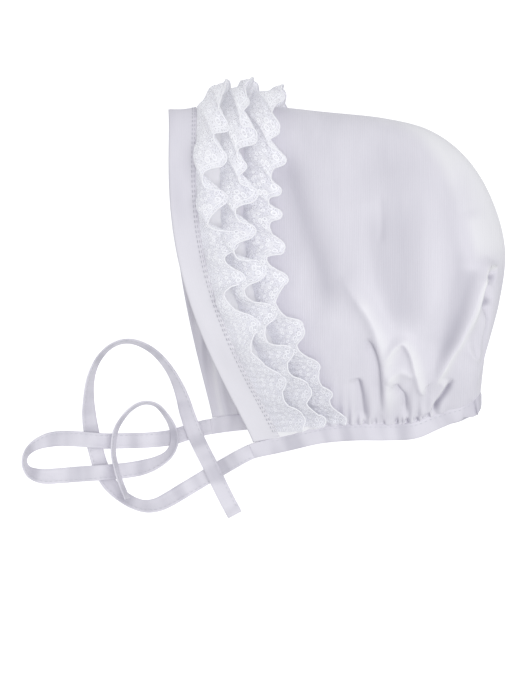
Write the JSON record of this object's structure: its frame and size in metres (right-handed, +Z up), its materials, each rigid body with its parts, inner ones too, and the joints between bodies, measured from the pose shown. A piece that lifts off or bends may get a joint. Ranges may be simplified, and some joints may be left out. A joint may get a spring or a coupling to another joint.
{
  "type": "baby bonnet",
  "caption": "Baby bonnet of white satin lying on its side, with a folded face band, tiers of gathered scalloped lace, a bound neck edge and loose ties.",
  "frame": {"origin": "on the table, in the middle of the far side that the bonnet lies on", "axes": "+X from the face opening to the back of the head, +Y from the neck to the crown, +Z up from the table"},
  "size_m": [0.2181, 0.1981, 0.0757],
  "materials": {
    "satin": "cool white satin with a silky sheen and fine ribs",
    "lace": "sheer white net with matt corded embroidery"
  },
  "bodies": {
    "root": {"crown": "satin", "front_band": "satin", "neck_binding": "satin", "ruffle_front": "lace", "ruffle_middle": "lace", "ruffle_back": "lace", "tie_near": "satin", "tie_far": "satin"}
  },
  "joints": []
}
